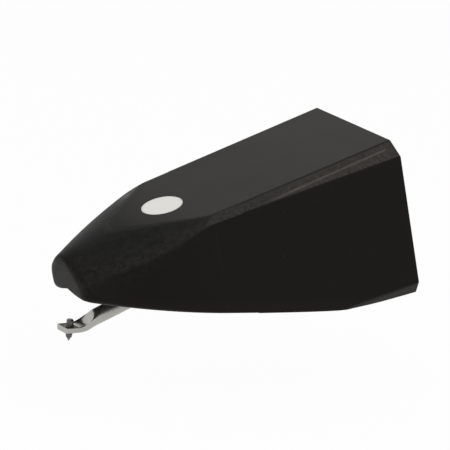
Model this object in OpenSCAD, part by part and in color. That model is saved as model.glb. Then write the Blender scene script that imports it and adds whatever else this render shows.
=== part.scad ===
/*
  Replacement stylus for a record player's magnetic cartridge, in millimetres.

  The grip is a wedge-shaped moulded shell. A square socket at its rear slides over the
  front of the cartridge, and the support tube in the middle of the socket plugs into the
  cartridge's own hole. The tube holds the suspension: a rubber damper, a tubular magnet on
  the end of the cantilever, and a tie wire that pulls the magnet's collar against the damper.
  The cantilever comes out under the nose and carries the shank with the diamond.

  The grip and the tube are drawn along the plug axis: X runs to the rear, Z up, and X = 0 is
  the rear rim that seats on the cartridge. The whole part is then tilted to its playing
  attitude, in which the record lies level and the shank stands upright.
*/

/* [Grip] */
// Length along the plug axis, from the rear rim to the lip of the nose
grip_len = 17.16; // [15.5:0.02:20.6]
// Width across the rear rim
rear_w = 8.1; // [7.2:0.1:9.8]
// Height of the rear rim above the plug axis
rear_up = 4.06; // [3.6:0.02:4.9]
// Depth of the rear rim below the plug axis
rear_down = 4.06; // [3.5:0.02:4.9]
// Wall thickness of the shell
wall = 0.8; // [0.6:0.05:1.0]
// Taper of each side wall towards the nose, in degrees
side_taper = 3; // [1:0.5:5]
// Draft of the top face towards the nose, in degrees
top_draft = 2.1; // [0.5:0.1:4]
// Slope of the bevel along each upper edge, in degrees
chamfer_slope = 41; // [30:1:60]
// Height of the bevel's lower edge above the plug axis
chamfer_z = 3.37; // [3:0.01:3.6]

/* [Nose] */
// Length over which the sides curve in to the nose
nose_len = 6.66; // [5.6:0.02:8]
// Width of the front face
nose_w = 2.88; // [2.6:0.02:3.4]
// Height of the front face's lower edge above the plug axis
nose_bottom = 0.98; // [0.8:0.02:1.2]
// Radius that rounds the lip of the nose
lip_r = 0.42; // [0.3:0.02:0.5]
// How far the front face leans back at its foot
nose_lean = 0.14; // [0.05:0.01:0.3]
// Half angle of the cone that rounds the nose, in degrees
cone_half = 51; // [48:1:54]
// Dip of that cone's axis towards the rear, in degrees
cone_dip = 41; // [38:1:43]
// Distance of the cone's point in front of the lip
cone_lead = 0.72; // [0.6:0.02:0.9]
// Height of the cone's point above the plug axis
cone_z = 2.9; // [2.7:0.02:3]
// Width of the notch that clears the cantilever, at the foot of the front face
notch_w = 2.5; // [2:0.1:2.6]
// Height of that notch
notch_h = 0.34; // [0.2:0.02:0.5]

/* [Underside] */
// Distance of the underside's bend from the rear rim
bend_x = 3.4; // [3.2:0.1:4.2]
// Depth of the underside below the plug axis at the bend, before it is rounded
bend_down = 3.7; // [3.2:0.02:3.8]
// Radius that rounds the bend
round_r = 19; // [12:1:20]
// How far the underside bows out between the nose and the bend
belly_bow = 0.12; // [0.04:0.02:0.3]
// Rise of the lower corner bevel at the rear rim
corner_rise = 0.5; // [0.3:0.05:0.6]
// Slope of the lower corner bevel, in degrees
corner_slope = 49; // [40:1:60]
// Angle at which that bevel's upper edge runs out towards the nose, in degrees
corner_run = 2.3; // [1.5:0.1:4]

/* [Socket] */
// Depth of the rear socket
socket_depth = 6.8; // [5.6:0.1:7.4]
// Thickness of the web between the socket and the nose
web_t = 1; // [0.8:0.1:1.4]
// Diameter of the boss that grips the tube
boss_d = 4.6; // [4.2:0.1:5]
// How far the boss stands into the socket
boss_rear = 0.8; // [0.5:0.1:1.2]
// How far the boss stands into the nose
boss_front = 1.4; // [1:0.1:1.6]
// Thickness of the gusset that ties the boss to the roof of the nose
gusset_t = 0.8; // [0.6:0.1:1]
// Thickness of the guide ribs on the socket's side walls
rib_w = 0.6; // [0.4:0.05:0.8]
// How far the guide ribs stand out from the side walls
rib_h = 0.4; // [0.25:0.05:0.5]

/* [Marker] */
// Diameter of the white sighting dot on the top
dot_d = 2.08; // [1.6:0.02:2.4]
// Distance of the dot's centre from the rear rim
dot_x = 11.3; // [10:0.1:12]
// Depth of the recess that holds the dot
dot_depth = 0.15; // [0.1:0.01:0.25]

/* [Support tube] */
// Outside diameter of the plug, the part of the tube that enters the cartridge
tube_d = 2.8; // [2.6:0.05:2.95]
// Outside diameter of the wider stretch that the boss grips
seat_d = 3.2; // [3.05:0.05:3.4]
// Wall thickness of the tube
tube_wall = 0.2; // [0.15:0.01:0.22]
// Bevel round the tube's two ends
tube_bevel = 0.14; // [0.08:0.01:0.14]
// How far the tube stands out behind the rear rim
tube_rear = 1; // [0.6:0.1:1.4]
// How far the tube stands out in front of the boss
tube_front = 0.75; // [0.6:0.05:1]
// Inward reach of the rolled lip at the tube's front end
roll_in = 0.3; // [0.2:0.02:0.35]
// Thickness of the rolled lip
roll_t = 0.2; // [0.15:0.01:0.25]

/* [Suspension] */
// Thickness of the rubber damper
damper_t = 0.8; // [0.6:0.05:0.9]
// Outside diameter of the collar behind the damper
collar_d = 1.3; // [1.2:0.02:1.4]
// Length of the collar's head
collar_len = 0.48; // [0.44:0.02:0.6]
// Length of the collar's spigot inside the magnet
spigot_len = 0.4; // [0.3:0.05:0.5]
// Bore of the collar, through which the tie wire passes
spigot_bore = 0.32; // [0.3:0.01:0.34]
// Outside diameter of the tubular magnet
magnet_d = 1.2; // [1.1:0.02:1.3]
// Bore of the magnet
magnet_bore = 0.7; // [0.66:0.01:0.74]
// Length of the magnet
magnet_len = 2; // [1.8:0.1:2.2]
// Diameter of the tie wire
wire_d = 0.12; // [0.1:0.01:0.14]
// Diameter of the bead at the wire's front end
bead_d = 0.42; // [0.38:0.01:0.44]
// Length of the plug that anchors the tie wire in the tube
anchor_len = 1.1; // [0.9:0.05:1.3]
// Distance of the anchor's front face from the damper's middle plane
anchor_gap = 4.6; // [4.2:0.1:5]

/* [Cantilever] */
// Outside diameter of the cantilever tube
lever_d = 0.8; // [0.72:0.01:0.86]
// Wall thickness of the cantilever tube
lever_wall = 0.09; // [0.08:0.005:0.1]
// Length from the pivot to the middle of the shank, along the cantilever
lever_len = 8; // [7.6:0.05:9.6]
// Dip of the cantilever below the plug axis at rest, in degrees
lever_dip = 5.5; // [4:0.1:6]
// Width of the flattened end
pad_w = 0.98; // [0.9:0.02:1.1]
// Thickness of the flattened end
pad_t = 0.25; // [0.2:0.01:0.28]
// Length of the flattened end in front of the shank's middle
pad_front = 0.42; // [0.38:0.02:0.6]
// Length of the flattened end behind the shank's middle
pad_back = 0.28; // [0.24:0.02:0.4]
// Radius of the flattened end's front corners
pad_r = 0.16; // [0.12:0.02:0.3]
// Length of the dished slope between the tube and the flattened end
dish_len = 1.2; // [1:0.05:1.4]
// Depth of the dish in that slope
dish_depth = 0.2; // [0.1:0.02:0.22]

/* [Tip] */
// Diameter of the shank
shank_d = 0.34; // [0.3:0.02:0.4]
// Height of the shank's head above the flattened end
shank_up = 0.34; // [0.2:0.02:0.4]
// Length of the shank below the flattened end
shank_down = 0.3; // [0.2:0.01:0.34]
// Height of the bevel round the shank's head
shank_bevel = 0.04; // [0.02:0.01:0.06]
// Width of the flat rim round the diamond, at the shank's foot
shank_rim = 0.03; // [0.02:0.01:0.04]
// Height of the taper at the shank's foot
shank_taper = 0.14; // [0.1:0.01:0.16]
// Diameter of the diamond's root
diamond_d = 0.22; // [0.2:0.01:0.26]
// Depth of the diamond's seat in the shank
diamond_seat = 0.06; // [0.04:0.01:0.08]
// Length of the diamond's straight root below the shank
diamond_root = 0.02; // [0.01:0.01:0.04]
// Included angle of the diamond's cone, in degrees
diamond_angle = 58; // [50:1:65]
// Radius of the diamond's playing point
point_r = 0.018; // [0.015:0.001:0.03]
// Reach of the adhesive round the shank
bond_r = 0.1; // [0.06:0.01:0.12]

/* [Attitude] */
// Tilt of the plug axis above the record, in degrees
plug_tilt = 16; // [13:0.5:19]

/* [Hidden] */

// Running gap round the dot in its recess
dot_gap = 0.02;
// Gap between the damper and the tube that holds it
damper_fit = 0.01;
// Gap between the damper and the tilted collar behind it
collar_gap = 0.07;
// Gap between the cantilever and the parts it runs through
lever_fit = 0.01;
// Thickness of the collar behind the cantilever's end
collar_web = 0.1;
// How far a cutting shape reaches past the face it cuts
cut = 1;
// Gap between the side view's crown line and the cone that makes the crown
crown_gap = 0.02;
// How square the flattened end is: 2 leaves it round and 5 is nearly a flat bar
pad_square = 5;
// Steps of the curves that are drawn as points
belly_steps = 10;
round_steps = 6;
lip_steps = 8;
arc_step = 15;
// Smoothness of the large curves of the grip
grip_fn = 180;
// Smoothness of the turned parts, and of the thin wire
turned_fn = 72;
bead_fn = 48;
wire_fn = 24;

rear_half = rear_w / 2;
nose_half = nose_w / 2;
curve_x = -(grip_len - nose_len);
foot_x = -(grip_len - nose_lean);
// The crown line runs just above the cone's own top, down to the corner that the lip rounds
crown_slope = cone_half - cone_dip;
nose_top = cone_z + cone_lead * tan(crown_slope) + crown_gap;
// Reach of the shapes that cut the grip all along its length
reach = grip_len + rear_w;
// How deep a rib or gusset is rooted in the wall that it stands on
root = wall / 2;
tube_ri = tube_d / 2 - tube_wall;
seat_ri = seat_d / 2 - tube_wall;
boss_rear_x = -(socket_depth - boss_rear);
boss_front_x = -(socket_depth + web_t + boss_front);
tube_front_x = boss_front_x - tube_front;
pivot_x = tube_front_x + roll_t + damper_t / 2;
lever_r = lever_d / 2;
collar_x = damper_t / 2 + collar_gap;
magnet_x = collar_x + collar_len;
lever_end = magnet_x - collar_web;
bead_x = lever_end - bead_d / 2;
lever_bend = plug_tilt + lever_dip;
dish_start = lever_len - pad_back - dish_len;

// Half width of the grip at a place along the plug axis
function side_half(x) = rear_half + x * tan(side_taper);
// Height of the top face at a place along the plug axis
function top_z(x) = rear_up + x * tan(top_draft);
// Height of the nose's crown at a place along the plug axis
function crown_z(x) = nose_top + (x + grip_len) * tan(crown_slope);
// Where the crown leaves the top face
crown_x = (rear_up - nose_top - grip_len * tan(crown_slope)) / (tan(crown_slope) - tan(top_draft));

// The arc that carries each side in to the nose starts along the side wall
curve_w = side_half(curve_x) - nose_half;
curve_run = curve_x - foot_x;
curve_turn = atan2(curve_w, curve_run) - side_taper;
curve_r = norm([curve_w, curve_run]) / (2 * sin(curve_turn));
curve_cx = curve_x + curve_r * sin(side_taper);
curve_cy = curve_r * cos(side_taper) - side_half(curve_x);

function unit(v) = v / norm(v);

// Points of an arc of radius r that rounds the corner b between a and c
function rounded(a, b, c, r, steps) =
    let (u = unit(a - b), v = unit(c - b), half = acos(u * v) / 2)
    let (centre = b + unit(u + v) * r / sin(half))
    let (first = b + u * r / tan(half) - centre, last = b + v * r / tan(half) - centre)
    let (start = atan2(first.y, first.x), raw = atan2(last.y, last.x) - start)
    let (sweep = raw > 180 ? raw - 360 : raw < -180 ? raw + 360 : raw)
    [for (k = [0:steps]) centre + r * [cos(start + sweep * k / steps), sin(start + sweep * k / steps)]];

// Points along the underside: bowed from the foot of the nose, then round the bend to the rear
function underside(rear_x) =
    let (a = [foot_x, nose_bottom], b = [-bend_x, -bend_down], fall = (rear_down - bend_down) / bend_x)
    let (end = [rear_x, -rear_down - rear_x * fall], out = unit([(b - a).y, -(b - a).x]))
    let (bow = [for (k = [0:belly_steps])
        let (t = k / belly_steps)
        a + (b - a) * t + out * belly_bow * 4 * t * (1 - t)])
    let (round_run = round_r * tan((atan2((a - b).y, (b - a).x) - atan(fall)) / 2))
    let (straight = [for (p = bow) if (p.x < b.x - round_run) p])
    concat(straight, rounded(straight[len(straight) - 1], b, end, round_r, round_steps), [end]);

// Points of a path moved square to itself, to the left of its direction
function beside(path, t) =
    [for (i = [0:len(path) - 1])
        let (along = unit(path[min(i + 1, len(path) - 1)] - path[max(i - 1, 0)]))
        path[i] + t * [-along.y, along.x]];

// Points of the lip, from the crown round to the front face
lip = rounded([crown_x, crown_z(crown_x)], [-grip_len, nose_top], [foot_x, nose_bottom], lip_r, lip_steps);

// The cantilever's centre line: straight, then one bend up to the level of the record
bend_r = dish_len / (lever_bend * PI / 180);
function bend_at(t) = [-dish_start - bend_r * sin(lever_bend * t), bend_r * (1 - cos(lever_bend * t))];
bend_end = bend_at(1);
pad_dir = [-cos(lever_bend), sin(lever_bend)];
tip_at = bend_end + pad_dir * pad_back;

function smooth(t) = t * t * (3 - 2 * t);

// Tilts the plug axis to its playing attitude
module in_use() {
    rotate([0, -plug_tilt, 0])
        children();
}

// Turns a shape's Z axis to run along the plug axis
module along_plug() {
    rotate([0, 90, 0])
        children();
}

// Places a shape in the cantilever's own frame, at the pivot
module on_lever() {
    in_use()
        translate([pivot_x, 0, 0])
            rotate([0, -lever_dip, 0])
                children();
}

// Places a shape at the middle of the shank, on the flattened end's lower face
module on_pad() {
    on_lever()
        translate([tip_at.x, 0, tip_at.y])
            rotate([0, lever_bend, 0])
                translate([0, 0, -lever_r])
                    children();
}

module both_sides() {
    children();
    mirror([0, 1, 0])
        children();
}

// Side view of the grip, set in from the outside by an even thickness
module side_outline(inset, open_below) {
    rear_x = inset > 0 ? cut : 0;
    low = -rear_down - cut;
    front = inset > 0
        ? [[-grip_len + inset, crown_z(-grip_len + inset) - inset]]
        : lip;
    below = open_below
        ? [[foot_x + inset, low], [rear_x, low]]
        : beside(underside(rear_x), inset);
    polygon(concat(
        [[rear_x, top_z(rear_x) - inset], [crown_x, top_z(crown_x) - inset]],
        front,
        below));
}

// Plan view of the grip: straight tapered sides that curve in to the nose
module plan_outline(inset) {
    rear_x = inset > 0 ? cut : 0;
    half_w = side_half(curve_x) + cut;
    polygon([
        [rear_x, side_half(rear_x) - inset],
        [curve_x, side_half(curve_x) - inset],
        [curve_x, -side_half(curve_x) + inset],
        [rear_x, -side_half(rear_x) + inset]]);
    intersection() {
        translate([-grip_len - cut, -half_w])
            square([grip_len + curve_x + 2 * cut, 2 * half_w]);
        translate([curve_cx, curve_cy])
            circle(r = curve_r - inset, $fn = grip_fn);
        translate([curve_cx, -curve_cy])
            circle(r = curve_r - inset, $fn = grip_fn);
    }
}

// The large cone that turns the nose's upper side round to its flanks
module nose_cone(inset) {
    translate([-grip_len - cone_lead, 0, cone_z])
        rotate([0, 90 + cone_dip, 0])
            translate([0, 0, inset / sin(cone_half)])
                cylinder(h = reach, r1 = 0, r2 = reach * tan(cone_half), $fn = grip_fn);
}

// Everything above the bevel of one upper edge
module above_chamfer(inset) {
    translate([0, -rear_half, chamfer_z])
        rotate([0, 0, -side_taper])
            rotate([chamfer_slope, 0, 0])
                translate([-reach, -rear_w, -inset])
                    cube([reach + rear_w, 2 * rear_w, rear_w]);
}

// Everything below the bevel of one lower rear corner
module below_corner(inset) {
    translate([0, -rear_half, corner_rise - rear_down])
        rotate([0, 0, -side_taper])
            rotate([0, corner_run, 0])
                rotate([-corner_slope, 0, 0])
                    translate([-reach, -rear_w, inset - rear_w])
                        cube([reach + rear_w, 2 * rear_w, rear_w]);
}

// The outer form of the grip, or the same form set in by a wall's thickness
module grip_form(inset = 0, open_below = false) {
    difference() {
        intersection() {
            rotate([90, 0, 0])
                linear_extrude(height = 2 * rear_w, center = true)
                    side_outline(inset, open_below);
            linear_extrude(height = 4 * rear_w, center = true)
                plan_outline(inset);
            nose_cone(inset);
        }
        both_sides()
            above_chamfer(inset);
        if (!open_below) {
            both_sides()
                below_corner(inset);
        }
    }
}

// A slice of space between two places along the plug axis
module slab(from_x, to_x) {
    translate([from_x, -rear_w, -2 * rear_w])
        cube([to_x - from_x, 2 * rear_w, 4 * rear_w]);
}

// The rear socket, which takes the front of the cartridge
module socket() {
    intersection() {
        grip_form(wall);
        slab(-socket_depth, 2 * cut);
    }
}

// The hollow under the nose, in which the cantilever swings
module nose_hollow() {
    intersection() {
        grip_form(wall, open_below = true);
        slab(-grip_len, -socket_depth - web_t);
    }
}

// One guide rib on each side wall of the socket, rooted in the wall
module guide_ribs() {
    both_sides()
        translate([0, wall - rear_half, 0])
            rotate([0, 0, -side_taper])
                translate([-socket_depth - web_t / 2, -root, -rib_w / 2])
                    cube([socket_depth + web_t / 2 - wall, root + rib_h, rib_w]);
}

// The boss that grips the tube, tied to the roof of the nose by a gusset
module boss() {
    translate([boss_front_x, 0, 0])
        along_plug()
            cylinder(h = boss_rear_x - boss_front_x, d = boss_d, $fn = turned_fn);
    intersection() {
        grip_form(wall - root);
        translate([boss_front_x, -gusset_t / 2, 0])
            cube([boss_front + web_t / 2, gusset_t, rear_up]);
    }
}

// The notch at the foot of the front face
module nose_notch() {
    rotate([90, 0, -90])
        translate([0, 0, grip_len - 2 * wall])
            linear_extrude(height = 2 * wall + cut)
                polygon([
                    [-notch_w / 2, nose_bottom - cut],
                    [-notch_w / 2, nose_bottom],
                    [0, nose_bottom + notch_h],
                    [notch_w / 2, nose_bottom],
                    [notch_w / 2, nose_bottom - cut]]);
}

// Places a shape on the top face, square to it, at the sighting dot
module at_dot() {
    translate([-dot_x, 0, top_z(-dot_x)])
        rotate([0, -top_draft, 0])
            children();
}

module housing() {
    color([0.16, 0.155, 0.15])
        in_use()
            difference() {
                union() {
                    difference() {
                        grip_form();
                        socket();
                        nose_hollow();
                    }
                    guide_ribs();
                    boss();
                }
                translate([boss_front_x - cut, 0, 0])
                    along_plug()
                        cylinder(h = boss_rear_x - boss_front_x + 2 * cut, d = seat_d, $fn = turned_fn);
                nose_notch();
                at_dot()
                    translate([0, 0, -dot_depth])
                        cylinder(h = dot_depth + cut, d = dot_d, $fn = turned_fn);
            }
}

module marker_dot() {
    color([0.87, 0.87, 0.85])
        in_use()
            at_dot()
                translate([0, 0, -dot_depth])
                    cylinder(h = dot_depth - dot_gap, d = dot_d - 2 * dot_gap, $fn = turned_fn);
}

// A stepped tube: the wide stretch sits in the boss, the narrow one is the plug,
// and the front end is rolled in to hold the damper
module support_tube() {
    front = tube_front_x;
    step = boss_rear_x;
    rear = tube_rear;
    color([0.78, 0.74, 0.62])
        in_use()
            along_plug()
                rotate_extrude($fn = turned_fn)
                    polygon([
                        [seat_ri - roll_in, front],
                        [seat_d / 2 - tube_bevel, front],
                        [seat_d / 2, front + tube_bevel],
                        [seat_d / 2, step],
                        [tube_d / 2, step],
                        [tube_d / 2, rear - tube_bevel],
                        [tube_d / 2 - tube_bevel, rear],
                        [tube_ri, rear],
                        [tube_ri, step - tube_wall],
                        [seat_ri, step - tube_wall],
                        [seat_ri, front + roll_t],
                        [seat_ri - roll_in, front + roll_t]]);
}

module damper_ring() {
    color([0.1, 0.1, 0.1])
        difference() {
            in_use()
                translate([pivot_x - damper_t / 2, 0, 0])
                    along_plug()
                        cylinder(h = damper_t, r = seat_ri - damper_fit, $fn = turned_fn);
            on_lever()
                translate([-damper_t, 0, 0])
                    along_plug()
                        cylinder(h = 2 * damper_t, r = lever_r + lever_fit, $fn = turned_fn);
        }
}

// Collar that carries the magnet on the cantilever's rear end
module pivot_collar() {
    color([0.72, 0.6, 0.35])
        on_lever()
            translate([collar_x, 0, 0])
                along_plug()
                    rotate_extrude($fn = turned_fn)
                        polygon([
                            [lever_r, 0],
                            [collar_d / 2, 0],
                            [collar_d / 2, collar_len],
                            [magnet_bore / 2, collar_len],
                            [magnet_bore / 2, collar_len + spigot_len],
                            [spigot_bore / 2, collar_len + spigot_len],
                            [spigot_bore / 2, collar_len - collar_web],
                            [lever_r, collar_len - collar_web]]);
}

module magnet() {
    color([0.45, 0.45, 0.47])
        on_lever()
            translate([magnet_x, 0, 0])
                along_plug()
                    difference() {
                        cylinder(h = magnet_len, d = magnet_d, $fn = turned_fn);
                        translate([0, 0, -cut])
                            cylinder(h = magnet_len + 2 * cut, d = magnet_bore, $fn = turned_fn);
                    }
}

// The tie wire leaves its bead in the cantilever's end and runs straight to the anchor
bead_at = [pivot_x + bead_x * cos(lever_dip), bead_x * sin(lever_dip)];
anchor_x = pivot_x + anchor_gap;
anchor_end = [anchor_x + anchor_len, 0];
wire_run = anchor_end - bead_at;

module on_wire() {
    in_use()
        translate([bead_at.x, 0, bead_at.y])
            rotate([0, -atan2(wire_run.y, wire_run.x), 0])
                along_plug()
                    children();
}

module tie_wire() {
    color([0.7, 0.7, 0.72])
        on_wire()
            union() {
                sphere(d = bead_d, $fn = bead_fn);
                cylinder(h = norm(wire_run), d = wire_d, $fn = wire_fn);
            }
}

module wire_anchor() {
    color([0.75, 0.62, 0.34])
        difference() {
            in_use()
                translate([anchor_x, 0, 0])
                    along_plug()
                        cylinder(h = anchor_len, r = tube_ri, $fn = turned_fn);
            on_wire()
                cylinder(h = norm(wire_run) + cut, d = wire_d, $fn = wire_fn);
        }
}

// One closed outline of the flattening tube: a circle that is pressed flat onto its lower
// side as press goes from 0 to 1, with a dish in its upper side
function flat_ring(half_w, press, dish, steps) =
    let (top = lever_r - press * (lever_d - pad_t), mid = (top - lever_r) / 2, half_h = (top + lever_r) / 2)
    let (power = 2 / (2 + (pad_square - 2) * press))
    [for (k = [0:steps - 1])
        let (a = 360 * k / steps)
        let (y = half_w * sign(cos(a)) * pow(abs(cos(a)), power))
        let (z = mid + half_h * sign(sin(a)) * pow(abs(sin(a)), power))
        [y, z - (sin(a) > 0 ? dish * (1 - pow(y / half_w, 2)) * sin(a) : 0)]];

function on_path(at, turn, ring) =
    [for (p = ring) [at.x + p.y * sin(turn), p.x, at.y + p.y * cos(turn)]];

// Half width of the flattened end, whose front corners are rounded
function pad_half(ahead) =
    let (left = pad_front - ahead, c = pad_r - min(left, pad_r))
    pad_w / 2 - pad_r + sqrt(pow(pad_r, 2) - pow(min(c, pad_r * 0.98), 2));

// The flattened end with its dished slope, one closed surface of rings along the path
module flat_end(steps = 36, slope_steps = 16, corner_steps = 6) {
    slope = [for (i = [0:slope_steps])
        let (t = i / slope_steps)
        on_path(bend_at(t), lever_bend * t,
            flat_ring(lever_r + (pad_w / 2 - lever_r) * smooth(t), smooth(t),
                dish_depth * pow(sin(180 * t), 2), steps))];
    pad = [for (ahead = concat([0], [for (i = [0:corner_steps])
                pad_front - pad_r * cos(90 * i / corner_steps)]))
        on_path(tip_at + pad_dir * ahead, lever_bend, flat_ring(pad_half(ahead), 1, 0, steps))];
    rings = concat(slope, pad);
    last = len(rings) - 1;
    skin = [for (i = [0:last - 1], k = [0:steps - 1])
        let (n = (k + 1) % steps)
        [i * steps + k, i * steps + n, (i + 1) * steps + n, (i + 1) * steps + k]];
    back_cap = [for (k = [0:steps - 1]) steps - 1 - k];
    front_cap = [for (k = [0:steps - 1]) last * steps + k];
    polyhedron(points = [for (ring = rings) each ring], faces = concat(skin, [back_cap], [front_cap]));
}

module cantilever() {
    color([0.75, 0.74, 0.72])
        difference() {
            on_lever()
                union() {
                    translate([-dish_start, 0, 0])
                        along_plug()
                            difference() {
                                cylinder(h = dish_start + lever_end, r = lever_r, $fn = turned_fn);
                                translate([0, 0, lever_wall])
                                    cylinder(h = dish_start + lever_end, r = lever_r - lever_wall, $fn = turned_fn);
                            }
                    flat_end();
                }
            on_pad()
                translate([0, 0, -cut])
                    cylinder(h = 2 * cut + pad_t, d = shank_d, $fn = turned_fn);
        }
}

// Turned shank with a bevelled head and a tapered foot that holds the diamond
module tip_shank() {
    r = shank_d / 2;
    foot_r = diamond_d / 2;
    head = pad_t + shank_up;
    color([0.4, 0.4, 0.41])
        on_pad()
            rotate_extrude($fn = turned_fn)
                polygon([
                    [0, diamond_seat - shank_down],
                    [foot_r, diamond_seat - shank_down],
                    [foot_r, -shank_down],
                    [foot_r + shank_rim, -shank_down],
                    [r, shank_taper - shank_down],
                    [r, head - shank_bevel],
                    [r - shank_bevel, head],
                    [0, head]]);
}

module diamond_tip() {
    root_r = diamond_d / 2;
    flank = diamond_angle / 2;
    ball = [for (a = [0:arc_step:90 - flank]) [point_r * sin(a), -point_r * cos(a)]];
    cone_h = (root_r - point_r * cos(flank)) / tan(flank);
    ball_z = -diamond_root - cone_h + point_r * sin(flank);
    color([0.7, 0.66, 0.55])
        on_pad()
            translate([0, 0, -shank_down])
                rotate_extrude($fn = turned_fn)
                    polygon(concat(
                        [for (p = ball) p + [0, ball_z]],
                        [[point_r * cos(flank), -diamond_root - cone_h],
                         [root_r, -diamond_root],
                         [root_r, diamond_seat],
                         [0, diamond_seat]]));
}

// Adhesive drawn up round the shank where it comes through the flattened end
module tip_bond() {
    r = shank_d / 2;
    color([0.5, 0.4, 0.25])
        on_pad()
            translate([0, 0, pad_t])
                rotate_extrude($fn = turned_fn)
                    polygon(concat(
                        [[r, 0]],
                        [for (a = [0:arc_step:90]) [r + bond_r * (1 - sin(a)), bond_r * (1 - cos(a))]]));
}

housing();
marker_dot();
support_tube();
damper_ring();
pivot_collar();
magnet();
tie_wire();
wire_anchor();
cantilever();
tip_shank();
diamond_tip();
tip_bond();
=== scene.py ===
import math

import bmesh
import bpy
import numpy as np
from mathutils import Matrix, Vector


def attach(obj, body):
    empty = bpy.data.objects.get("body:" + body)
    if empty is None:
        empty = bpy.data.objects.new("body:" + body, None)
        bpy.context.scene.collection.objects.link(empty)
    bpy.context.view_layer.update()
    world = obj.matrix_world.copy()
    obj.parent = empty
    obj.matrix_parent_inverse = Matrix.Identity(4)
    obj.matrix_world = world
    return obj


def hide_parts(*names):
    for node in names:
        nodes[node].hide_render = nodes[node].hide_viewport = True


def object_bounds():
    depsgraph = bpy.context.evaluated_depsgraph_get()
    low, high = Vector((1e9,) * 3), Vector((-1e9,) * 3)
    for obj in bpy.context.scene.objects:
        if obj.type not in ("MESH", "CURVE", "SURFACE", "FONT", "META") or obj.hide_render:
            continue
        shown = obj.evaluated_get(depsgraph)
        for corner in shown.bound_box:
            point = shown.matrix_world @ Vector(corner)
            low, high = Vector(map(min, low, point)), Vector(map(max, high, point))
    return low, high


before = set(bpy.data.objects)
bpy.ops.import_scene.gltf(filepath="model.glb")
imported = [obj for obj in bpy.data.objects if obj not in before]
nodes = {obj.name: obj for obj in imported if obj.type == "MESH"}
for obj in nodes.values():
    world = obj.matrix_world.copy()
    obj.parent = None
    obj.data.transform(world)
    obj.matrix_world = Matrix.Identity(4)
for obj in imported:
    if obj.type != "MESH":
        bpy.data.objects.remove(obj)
cad_box = [list(corner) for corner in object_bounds()]

MM = 0.001
TILT = math.radians(16)  # the plug axis rises to the rear by this much
SHARP_GRIP, SHARP_METAL = math.radians(30), math.radians(38)  # edges over these angles stay sharp

# Lengths on the grip and the cantilever are millimetres along the plug axis, unless said otherwise.
# The grip's outer planes: height and slope of the top, half width and draft of the flanks, the bevel
TOP_H, TOP_SLOPE = 4.06, math.tan(math.radians(2.1))
SIDE_W, SIDE_SLOPE = 4.05, math.tan(math.radians(3))
CHAMFER_N, CHAMFER_D = np.array([-0.03434, -0.65516, 0.75471]), 5.19677


# ---------------------------------------------------------------- frames
def turn_to_plug(vectors):
    """Row vectors seen along the plug axis, which is a turn about Y by the tilt."""
    x, y, z = np.asarray(vectors).T
    c, s = math.cos(TILT), math.sin(TILT)
    return np.stack([x * c + z * s, y, z * c - x * s], axis=1)


def turn_to_row(vectors):
    """The same turn undone."""
    x, y, z = np.asarray(vectors).T
    c, s = math.cos(TILT), math.sin(TILT)
    return np.stack([x * c - z * s, y, x * s + z * c], axis=1)


def to_plug(points):
    """Points in metres as millimetres along the plug axis."""
    return turn_to_plug(np.asarray(points) / MM)


def to_row(points):
    """Millimetres along the plug axis as points in metres."""
    return turn_to_row(points) * MM


def plug_x(point):
    """How far along the plug axis one point in metres lies, in millimetres."""
    return (point.x * math.cos(TILT) + point.z * math.sin(TILT)) / MM


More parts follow.
